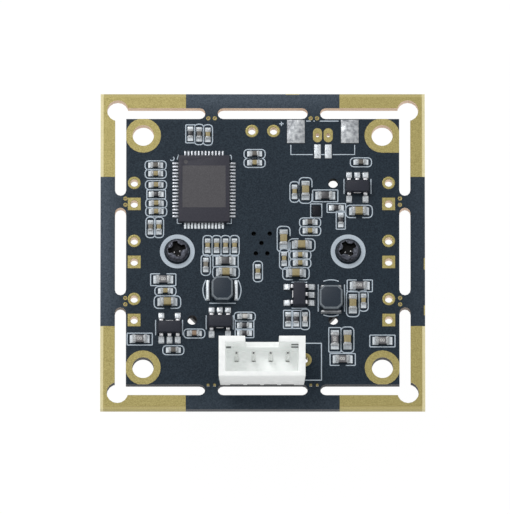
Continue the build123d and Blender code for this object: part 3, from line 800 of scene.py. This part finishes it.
# Strokes across, each a Y and two Xs: by the last regulator, at the spare socket, in the plus
# mark and in front of the left inductor
for y, start, end in (
    (-3.72, 3.38, 5.2), (-6.84, 3.38, 5.2), (11.7, 6.82, 7.28), (15.75, 5.1, 5.62),
    (15.75, 5.95, 6.1), (15.75, 6.7, 8.9), (15.42, 1.95, 2.45), (-6.24, -6.25, -3.15),
):
    lines.append(([(start, y), (end, y)], False))
for points in (
    # Round the spare socket's body
    [(3.3, 12.86), (3.3, 11.7), (5.87, 11.7)], [(10.78, 12.86), (10.78, 11.7), (8.21, 11.7)],
    # At the processor's corners, and a hooked mark by its first land
    [(-9.86, 11.67), (-10.03, 11.1)], [(-3.86, 11.67), (-3.68, 11.5), (-3.68, 11.05)],
    [(-10.0, 3.95), (-10.0, 3.38), (-9.5, 3.38)], [(-3.68, 3.95), (-3.68, 3.38), (-4.22, 3.38)],
    arc(-10.62, 11.2, 0.24, -150, 60, 8),
    # Round the ends of the inductors
    arc(-4.77, -4.67, 2.23, 147, 213), arc(-4.77, -4.67, 2.23, -33, 33),
    arc(8.0, -5.62, 2.2, 66, 114), arc(8.0, -5.62, 2.2, 246, 294),
):
    lines.append((points, False))
# Boxes round the flash chip and the cable header
lines.append((rounded_box(6.27, 4.93, 1.3, 1.62, 0.06), True))
lines.append((rounded_box(0.905, -13.28, 11.93, 4.44, 0.06), True))
pieces = [printed("component_print", lines, ink_half_width, ink_rise)]
for side in (-1, 1):
    pieces.append(turned("screw_ring", [
        (1.54, high), (1.54, high + ink_rise), (2.04, high + ink_rise), (2.04, high),
    ], 48, (side * screw_reach, 0)))
mount("component_print", pieces, ink, "white_nylon")

# Spare socket: two large tinned anchor pads, gone grey and mottled from the flux, and two
# bright contact pads, each a shallow cushion of solder with steep edges.
bright_solder = finish("bright_solder", (205, 210, 213), (146, 151, 157), 0.2, 0.25, 0.5, 0.01,
                       metallic=0.5)
joint_solder = finish("joint_solder", (228, 235, 240), (197, 204, 210), 0.2, 0.3, 0.5, 0.008,
                      metallic=0.3)
dull_tin = finish("dull_tin", (172, 175, 177), (110, 113, 118), 0.5, 0.3, 0.6, 0.01,
                  metallic=0.75)
for name, solder, reach, y, width, length, height, corner, nodes in (
    ("anchor_pads", dull_tin, 3.16, 14.48, 2.1, 2.84, 0.12, 0.11, ("spare_socket_solder_pads",)),
    ("contact_pads", bright_solder, socket_reach, 12.06, 0.8, 1.7, 0.13, 0.12, ()),
):
    cushions = [slim_block(name, socket_x + side * reach, y, high, width, length, height, corner, 4)
                for side in (-1, 1)]
    mount(name, cushions, solder, "solder", *nodes)

# Processor: a leadless moulded chip, its body grey-black with a duller square where it was
# marked, a dimple at the first land, and bright solder lands showing all round it.
chip_x, chip_y = -6.88, 7.42
chip_width, chip_length, chip_seat, chip_height = 6.0, 8.0, 0.06, 0.79
mark_x, mark_y, mark_half = -6.87, 7.64, 2.52
dimple_x, dimple_y, dimple_radius = -9.02, 10.61, 0.24
land_pitch, side_reach, back_reach, front_reach = 0.4, 3.27, 4.27, 4.21


def processor_finish():
    """Moulded resin, duller and warmer inside the marked square and the dimple."""
    material, tree, _ = new_material("processor_resin", specular=0.15)
    plain = mottled(tree, (56, 56, 64), (48, 48, 56), 0.12, 0.4, 0.55, 0.003)
    marked = mottled(tree, (84, 83, 86), (72, 71, 74), 0.12, 0.6, 0.75, 0.003)
    place = object_place(tree)
    centred = vector_step(tree, place, "SUBTRACT", (mark_x * mm, mark_y * mm, 0))[0]
    reach = axes(tree, vector_step(tree, centred, "ABSOLUTE")[0])
    far = combine(tree, reach["X"], "MAXIMUM", reach["Y"])
    patch = combine(tree, far, "LESS_THAN", mark_half * mm)
    top = board_top + (chip_seat + chip_height) * mm
    from_dimple = vector_step(tree, place, "DISTANCE", (dimple_x * mm, dimple_y * mm, top))
    dimple = combine(tree, from_dimple["Value"], "LESS_THAN", dimple_radius * mm)
    patch = combine(tree, patch, "MAXIMUM", dimple)
    clad(tree, *blend(tree, patch, plain, marked), plain["Normal"])
    return material


def ball(x, y, z, radius, segments, rings):
    """A ball; its place and radius in mm."""
    bpy.ops.object.select_all(action="DESELECT")
    bpy.ops.mesh.primitive_uv_sphere_add(segments=segments, ring_count=rings, radius=radius * mm,
                                         location=(x * mm, y * mm, z * mm))
    return settled()


processor = slim_block("processor", chip_x, chip_y, high + chip_seat, chip_width, chip_length,
                       chip_height, 0.06, 3)
carve(processor, ball(dimple_x, dimple_y, high + 1.41, 0.6, 24, 12))
paint(processor, processor_finish())
fit(processor, "chip_resin", "processor_body")

land_tin = finish("land_tin", (182, 185, 190), (128, 131, 137), 0.2, 0.3, 0.5, 0.006,
                  metallic=0.8)
land = slim_block("land", 0, 0, high, 0.23, 0.86, 0.075, 0.035, 2)
paint(land, land_tin)
# The front row is painted in brighter solder: painted light where the processor shades it
lit_front_land = slim_block("land", 0, 0, high, 0.26, 0.96, 0.085, 0.035, 2)
paint(lit_front_land, joint_solder)
lands = []
for i in range(12):
    along = (i - 5.5) * land_pitch
    lands.append(copy_of(land, chip_x + along, chip_y + back_reach))
    lands.append(copy_of(lit_front_land, chip_x + along, chip_y - front_reach))
for i in range(17):
    along = (i - 8) * land_pitch
    for way in (-1, 1):
        lands.append(copy_of(land, chip_x + way * side_reach, chip_y + along, 0, 90))
drop(land, lit_front_land)
processor_lands = join("processor_lands_soldered", lands)
fit(processor_lands, "solder", "processor_lands")

# Regulators: four small five-lead chips.  Each has a moulded body with drafted sides and a
# cut tie bar at one edge, and tinned gull-wing leads set in solder on their pads.
chip_resin = finish("chip_resin", (45, 47, 56), (31, 34, 43), 0.1, 0.35, 0.55, 0.004,
                    specular=0.15)
lead_tin = finish("lead_tin", (214, 214, 216), (168, 168, 172), 0.12, 0.25, 0.45, 0.004,
                  metallic=0.9)
lead_pitch = 0.96


def profile(name, points, width):
    """A flat outline in Y and Z given a width along X, standing on the board."""
    piece = flat_plate(name, [points], width)
    upright = Matrix(((0, 0, 1, 0), (1, 0, 0, 0), (0, 1, 0, 0), (0, 0, 0, 1)))
    piece.data.transform(Matrix.Translation((0, 0, board_top)) @ upright)
    mend()
    return piece


def moulded(node, name, width, segments, material, slot, angle=30):
    """A copy of a CAD node, its edges rounded over, painted and fitted in the node's place."""
    body = node_copy(node, name)
    round_over(body, width, segments, angle)
    paint(body, material)
    fit(body, slot, node)


gull = [
    (0.7, 0.5), (0.84, 0.5), (0.91, 0.46), (0.95, 0.37), (0.98, 0.15), (1.05, 0.05), (1.16, 0.02),
    (1.7, 0.02), (1.7, 0.17), (1.2, 0.17), (1.13, 0.21), (1.1, 0.42), (1.03, 0.57),
    (0.92, 0.65), (0.7, 0.65),
]
solder_heel = [
    (0.98, 0.0), (1.86, 0.0), (1.86, 0.05), (1.8, 0.12), (1.72, 0.18), (1.3, 0.19), (1.18, 0.25),
    (1.12, 0.3), (1.06, 0.18), (0.98, 0.05),
]
lead = profile("lead", gull, 0.42)
round_over(lead, 0.025, 2)
lead_solder = profile("lead_solder", solder_heel, 0.66)
round_over(lead_solder, 0.04, 3)
tie_bar = slim_block("tie_bar", 0, -0.76, high + 0.5, 0.85, 0.1, 0.12)
for name, x, y, turn in (
    ("input_regulator", 11.08, 7.72, 0),
    ("core_regulator", -10.9, -9.25, 180),
    ("sensor_regulator", -5.02, -8.56, 0),
    ("memory_regulator", 4.28, -5.28, -90),
):
    moulded(name, name + "_body", 0.07, 3, chip_resin, "chip_resin")
    leads, joints = [], []
    spin = math.radians(turn)
    for step, way in ((-1, 0), (0, 0), (1, 0), (-1, 180), (1, 180)):
        lead_x = x + step * lead_pitch * math.cos(spin)
        lead_y = y + step * lead_pitch * math.sin(spin)
        leads.append(copy_of(lead, lead_x, lead_y, 0, turn + way))
        joints.append(copy_of(lead_solder, lead_x, lead_y, 0, turn + way))
    leads.append(copy_of(tie_bar, x, y, 0, turn))
    mount(name + "_tinned_leads", leads, lead_tin, "tinned_lead", name + "_leads")
    mount(name + "_lead_solder", joints, bright_solder, "solder")
drop(lead, lead_solder, tie_bar)

# Inductors: ferrite drums wound and cast in dark resin, their moulded edges
# given a painted highlight.  Each has a plated clip at both ends, soldered to its land.
highlight_edge_range = (0.45, 0.93)


def ferrite_finish():
    """Dark ferrite resin, with a painted highlight where its rounded edges face partly upwards."""
    material, tree, _ = new_material("ferrite_resin", specular=0.2)
    face = mottled(tree, (39, 49, 60), (27, 36, 47), 0.12, 0.3, 0.45, 0.004)
    # Paler look for the painted highlight on the edges
    painted_light_look = mottled(tree, (128, 136, 142), (96, 104, 112), 0.12, 0.4, 0.6)
    up = facing_up(tree)
    least, most = highlight_edge_range
    edge = combine(tree, combine(tree, up, "LESS_THAN", most), "MULTIPLY",
                   combine(tree, up, "GREATER_THAN", least))
    clad(tree, *blend(tree, edge, face, painted_light_look), face["Normal"])
    return material


ferrite = ferrite_finish()
for side, x, y, reach, turn, tin in (
    ("left", -4.77, -4.72, 1.655, 0, joint_solder), ("right", 8.0, -5.8, 1.5, 90, dull_tin),
):
    moulded(side + "_inductor_core", side + "_inductor_drum", 0.1, 3, ferrite, "ferrite")
    clips = []
    for way in (-1, 1):
        for width, length, height, corner, segments in (
            (0.3, 2.35, 0.5, 0.08, 3), (0.4, 2.4, 0.1, 0.04, 2),
        ):
            clip = slim_block("clip", way * reach, 0, high, width, length, height, corner, segments)
            clips.append(copy_of(clip, x, y, 0, turn))
            drop(clip)
    mount(side + "_inductor_clips", clips, tin, "solder", side + "_inductor_terminals")

# Flash chip: a tiny leadless chip moulded in black resin, smooth and glossy, soldered by pads
# under its body.
black_resin = finish("black_resin", (24, 27, 34), (16, 18, 24), 0.1, 0.25, 0.4, 0.003,
                     specular=0.1)
moulded("flash_chip", "flash_chip_body", 0.03, 2, black_resin, "chip_resin")

# Chip capacitors and resistors: a fired ceramic block with a tinned cap at both ends, each
# cap held by a fillet of solder on its pad.  Groups that stand together share a piece.
cap_tin = finish("cap_tin", (162, 165, 167), (118, 121, 123), 0.12, 0.35, 0.55, 0.004,
                 metallic=0.6)
digit_ink = finish("digit_ink", (204, 204, 202), (186, 186, 184), 0.1, 0.5, 0.7)
shades = {
    shade: finish(name, light, dark, 0.12, smooth, rough, 0.003)
    for shade, name, light, dark, smooth, rough in (
        ("grey", "grey_ceramic", (126, 121, 110), (102, 97, 88), 0.45, 0.6),
        ("tan", "tan_ceramic", (152, 139, 98), (124, 112, 76), 0.45, 0.6),
        ("brown", "brown_ceramic", (140, 116, 94), (118, 98, 80), 0.45, 0.6),
        ("dark", "dark_ceramic", (92, 88, 82), (72, 68, 64), 0.45, 0.6),
        ("pale", "pale_ceramic", (196, 194, 190), (170, 168, 164), 0.45, 0.6),
        ("plain", "grey_glaze", (58, 58, 62), (42, 42, 46), 0.3, 0.45),
        ("numbered", "numbered_glaze", (102, 101, 104), (84, 83, 86), 0.3, 0.45),
    )
}
shades["black"] = finish("resistor_glaze", (34, 34, 40), (24, 24, 30), 0.1, 0.25, 0.4, 0.003)
# Length, width, cap and solder reach for each case, and how high each kind stands
case_sizes = {"small": (1.02, 0.54, 0.27, 0.36), "large": (1.6, 0.84, 0.38, 0.36)}
kind_heights = {"capacitor": 0.92, "resistor": 0.6}
number_strokes = [
    ([(-0.42, -0.14), (-0.42, 0.14)], False),
    (rounded_box(-0.14, 0, 0.18, 0.28, 0.06), True),
    (rounded_box(0.14, 0, 0.18, 0.28, 0.06), True),
]


def chip_template(case, kind):
    """One chip part lying along X at the origin: its ceramic, its caps and its solder."""
    length, width, cap, reach = case_sizes[case]
    height = width * kind_heights[kind]
    middle = slim_block("ceramic", 0, 0, high + 0.05, length - 2 * cap + 0.04, width - 0.03,
                        height - 0.07, 0.03, 2)
    end, toe = length / 2, length / 2 + reach
    heel = [
        (end - cap * 0.8, 0.0), (toe, 0.0), (toe, 0.05), (end + reach * 0.6, height * 0.2),
        (end + reach * 0.25, height * 0.45), (end - 0.02, height * 0.8),
        (end - cap * 0.8, height * 0.6),
    ]
    block = slim_block("cap", (length - cap) / 2, 0, high + 0.03, cap, width, height - 0.03,
                       0.05, 3)
    wedge = profile("fillet", heel, width + 0.1)
    round_over(wedge, 0.04, 2)
    metal = [copy_of(block, 0, 0, 0, turn) for turn in (0, 180)]
    solder = [copy_of(wedge, 0, 0, 0, turn) for turn in (-90, 90)]
    drop(block, wedge)
    return middle, join("cap", metal), join("fillet", solder)


templates = {(case, kind): chip_template(case, kind)
             for case in case_sizes for kind in kind_heights}
for group, rows in chip_parts.items():
    members = []
    for x, y, turn, case, shade in rows:
        for template, material in zip(templates[(case, kind_of(shade))],
                                      (shades[shade], cap_tin, joint_solder)):
            members.append(copy_of(template, x, y, 0, turn))
            paint(members[-1], material)
        if shade == "numbered":
            digits = printed("digits", number_strokes, 0.035, 0.01)
            height = case_sizes[case][1] * kind_heights["resistor"] - 0.02
            members.append(copy_of(digits, x, y, height, turn))
            paint(members[-1], digit_ink)
            drop(digits)
    chips = join(group + "_soldered", members)
    fit(chips, "chip_ceramic", group)
for parts in templates.values():
    drop(*parts)

# Cable header: one moulded nylon shroud, translucent white, on four square pins.  A painted
# glow brightens its pocket and, fainter, all of the shroud; thin plates painted as shade darken
# the windows in its back wall.
# It leans forward of its CAD node and flares at the mouth, as the photograph shows it.
header_low, header_high = (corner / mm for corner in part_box("connector_housing"))
header_middle = (header_low.x + header_high.x) / 2
header_shift = -0.25
header_draft, draft_level = 0.035, 0.3
header_flare = 0.35
pocket_inset, pocket_floor, pocket_rim = 0.5, 0.9, 0.1
# Painted glow: its strength in the pocket, and a fainter strength over the whole shroud
pocket_glow, body_glow = 0.09, 0.05
pin_lean = header_shift * 1.5
pin_tip = 4.66


def nylon_finish():
    """White nylon with a painted glow between the walls of the pocket and a fainter one all over.
    """
    material = finish("white_nylon", (240, 242, 241), (232, 235, 234), 0.6, 0.35, 0.5, 0.004)
    tree = material.node_tree
    shader = tree.nodes["Principled BSDF"]
    shader.inputs["Emission Color"].default_value = (0.9, 0.93, 0.91, 1)
    here = axes(tree, object_place(tree))
    inside = between(tree, here["X"], header_low.x + pocket_inset, header_high.x - pocket_inset)
    for axis, start, end in (
        ("Y", header_low.y + header_shift + pocket_inset,
         header_high.y + header_shift - pocket_inset),
        ("Z", high + pocket_floor, header_high.z - pocket_rim),
    ):
        inside = combine(tree, inside, "MULTIPLY", between(tree, here[axis], start, end))
    glow = combine(tree, combine(tree, inside, "MULTIPLY", pocket_glow), "ADD", body_glow)
    tree.links.new(glow, shader.inputs["Emission Strength"])
    return material


def pin_finish():
    """Tinned pins painted pale, a painted reflection of the white pocket, and darker at their tips.
    """
    material, tree, shader = new_material("pin_tin")
    shader.inputs["Metallic"].default_value = 0.2
    # The pale shaft is a painted reflection of the white pocket
    shaft = mottled(tree, (230, 232, 230), (216, 218, 216), 0.15, 0.2, 0.4, 0.003)
    tip = mottled(tree, (92, 95, 94), (66, 69, 69), 0.15, 0.4, 0.6)
    height = axes(tree, object_place(tree))["Z"]
    at_tip = combine(tree, height, "GREATER_THAN", (high + pin_tip) * mm)
    clad(tree, *blend(tree, at_tip, shaft, tip), shaft["Normal"])
    return material


nylon = nylon_finish()
slit_shade = finish("window_shade", (104, 108, 108), (78, 82, 82), 0.2, 0.5, 0.7)
shroud = node_copy("connector_housing", "cable_header_shroud")
round_over(shroud, 0.07, 3)
for vertex in shroud.data.vertices:
    rise = (vertex.co.z / mm - header_low.z) / (header_high.z - header_low.z)
    vertex.co.x += (vertex.co.x - header_middle * mm) * header_draft * (rise - draft_level)
    forward = (header_high.y - vertex.co.y / mm) / (header_high.y - header_low.y)
    vertex.co.y += (header_shift - header_flare * forward * rise) * mm
paint(shroud, nylon)
pieces = [shroud]
# Thin plates in the back-wall windows, dark as painted shade
for x, width, z in ((-4.13, 0.86, 2.8), (3.87, 1.04, 3.0), (3.87, 1.04, 4.25)):
    slit_y = header_high.y + header_shift - 0.72
    pieces.append(slim_block("shade_plate", x, slit_y, high + z, width, 0.05, 0.75))
    paint(pieces[-1], slit_shade)
shroud = join("cable_header_shroud", pieces)
fit(shroud, "white_nylon", "connector_housing")

pin_tin = pin_finish()
for i in range(1, 5):
    pin = node_copy(f"connector_pin_{i}", f"header_pin_{i}")
    round_over(pin, 0.03, 2)
    for vertex in pin.data.vertices:
        rise = max(0.0, vertex.co.z / mm - low) / (header_high.z - low)
        vertex.co.y += pin_lean * mm * rise
    paint(pin, pin_tin)
    fit(pin, "bare_gold", f"connector_pin_{i}")

cone = turned("joint", [(radius, low - depth) for radius, depth in (
    (0.0, 0.92), (0.3, 0.92), (0.34, 0.7), (0.42, 0.45), (0.56, 0.22), (0.74, 0.06), (0.76, 0),
    (0.0, 0),
)], 28)
cones = [copy_of(cone, header_pin_x + header_pitch * i, header_pin_y) for i in range(4)]
mount("header_joints", cones, bright_solder, "solder", "connector_pin_joints")
drop(cone)

# Lens holder screws: self-tapping steel screws, blackened, with pan heads.  Their cross
# recesses, worn by the driver, are painted near black as shade, and small balls of bright tin in
# them stand for the driver's burrs, made bright as painted glints.
screw_black = finish("blackened_steel", (93, 96, 106), (27, 29, 36), 0.34, 0.3, 0.55, 0.02,
                     metallic=0.8)
# Near black in the recesses: painted shade
recess_shade = finish("recess_shade", (10, 10, 14), (4, 4, 6), 0.3, 0.3, 0.5, specular=0.1)
screws = []
for side in (-1, 1):
    screw_x = side * screw_reach
    head = turned("screw", [(radius, high + rise) for radius, rise in (
        (0.0, 1.0), (0.9, 1.0), (1.12, 0.96), (1.22, 0.88), (1.26, 0.78), (1.22, 0.72),
        (1.3, 0.64), (1.35, 0.5), (1.35, 0.1), (1.32, 0), (0.8, 0), (0.8, -3.4), (0.0, -4.6),
    )], 40, (screw_x, 0), False)
    paint(head, screw_black, recess_shade)
    for turn, length in ((22, 2.1), (112, 1.9), (68, 1.3), (-24, 1.2)):
        slot = slim_block("slot", 0, 0, high + 0.15, length, 0.6, 1.2, 0.1, 2)
        cutter = copy_of(slot, screw_x - 0.06, 0.08, 0, turn + side * 8)
        paint(cutter, recess_shade)
        drop(slot)
        carve(head, cutter)
    screws.append(head)
    # Balls of bright tin for burrs in the recess, their brightness a painted glint
    for x, y, z, radius in (
        (0.3, -0.12, 0.5, 0.13), (-0.34, -0.22, 0.45, 0.11), (0.12, -0.62, 0.4, 0.08),
    ):
        screws.append(ball(screw_x + x, y, high + z, radius, 12, 8))
        paint(screws[-1], lead_tin)
holder_screws = join("holder_screws_driven", screws)
fit(holder_screws, "black_screw", "holder_screws")

# Lens holder: black moulded plastic, matte, with its edges rounded by the mould.  Its foot
# stands on the board's lens side and is held by the two screws.
holder_black = finish("holder_plastic", (44, 44, 47), (32, 32, 35), 0.15, 0.5, 0.7, 0.012)
moulded("lens_holder", "moulded_lens_holder", 0.15, 2, holder_black, "black_holder", 40)

# Lens barrel: turned aluminium, black anodised, with a ribbed head to turn it by and a fine
# thread between its head and the holder.
anodised = finish("anodised_black", (46, 46, 50), (30, 30, 33), 0.2, 0.3, 0.45, 0.004,
                  metallic=0.6)
moulded("lens_barrel", "turned_lens_barrel", 0.08, 2, anodised, "black_barrel", 40)

# Glass: ground and coated elements with true curved faces.  They are stacked in the barrel with
# spacers between them, and the front one is held by a threaded ring.
barrel_bore = 7.14


def glass_finish(name, colour, index):
    """Clear glass of one tint and refractive index."""
    material, _, shader = new_material(name, 0.02)
    shader.inputs["Base Color"].default_value = colour
    shader.inputs["Transmission Weight"].default_value = 1.0
    shader.inputs["IOR"].default_value = index
    return material, shader


glass, shader = glass_finish("coated_glass", (0.86, 0.9, 0.95, 1), 1.6)
shader.inputs["Coat Weight"].default_value = 0.4
shader.inputs["Coat Tint"].default_value = (0.5, 0.6, 1.0, 1)


def element(name, bore, opening, bottom, rim, front, back, *nodes):
    """A ground glass element: a flat rim and a true curve on each face, swelling or hollow."""
    outer, top, chamfer, steps = bore / 2, bottom + rim, 0.05, 12
    curve = [(opening / 2 * i / steps, 1 - (i / steps) ** 2) for i in range(steps + 1)]
    line = [(x, bottom - front * swell) for x, swell in curve]
    line += [(outer - chamfer, bottom), (outer, bottom + chamfer)]
    line += [(outer, top - chamfer), (outer - chamfer, top)]
    line += [(x, top + back * swell) for x, swell in reversed(curve)]
    piece = turned(name, line, 64, (0, 0), False)
    paint(piece, glass)
    fit(piece, "lens_glass", *nodes)


element("ground_front_lens", 10.34, 8.7, 2.2, 1.2, 0.9, -0.55, "front_lens")
element("ground_second_lens", barrel_bore, 5.8, 4.2, 1.2, -0.3, -0.35, "second_lens")
element("ground_rear_lens", barrel_bore, 5.8, 8.35, 1.2, -0.2, 0.5, "rear_lens")

# Rings and stop: turned aluminium, black anodised like the barrel.  The front one is threaded
# and has two slots for the key that turns it down on the glass; the others drop in.
for node in ("front_lens_ring", "aperture_stop", "spacer_ring", "rear_lens_ring"):
    dress(node, anodised)

# Focus thread: fine ridges rolled on the barrel, seen in the gap between its head and the
# holder.  The barrel is turned in it to focus and then glued.
thread_pitch, thread_start, thread_end = 0.35, 5.86, 7.3
thread_bore, thread_root, thread_crest = 5.9, 6.005, 6.08
ridges = [(thread_bore, thread_start - 0.04)]
for i in range(4):
    base = thread_start + i * thread_pitch
    for radius, share in ((thread_root, 0), (thread_crest, 0.4), (thread_crest, 0.55),
                          (thread_root, 0.95)):
        ridges.append((radius, base + thread_pitch * share))
ridges.append((thread_bore, thread_end))
focus_thread = turned("focus_thread", ridges, 72)
paint(focus_thread, anodised)
fit(focus_thread, "black_barrel")

# Filter and sensor: a square of tinted glass glued on the holder's ledge, and the sensor's
# ceramic package, soldered to the board, under its own cover glass.
filter_glass, _ = glass_finish("filter_glass", (0.6, 0.85, 0.88, 1), 1.5)
dress("infrared_filter", filter_glass)
dress("sensor_cover_glass", glass)
sensor_package = finish("sensor_package", (52, 54, 60), (38, 40, 46), 0.2, 0.35, 0.55, 0.003)
dress("image_sensor", sensor_package)
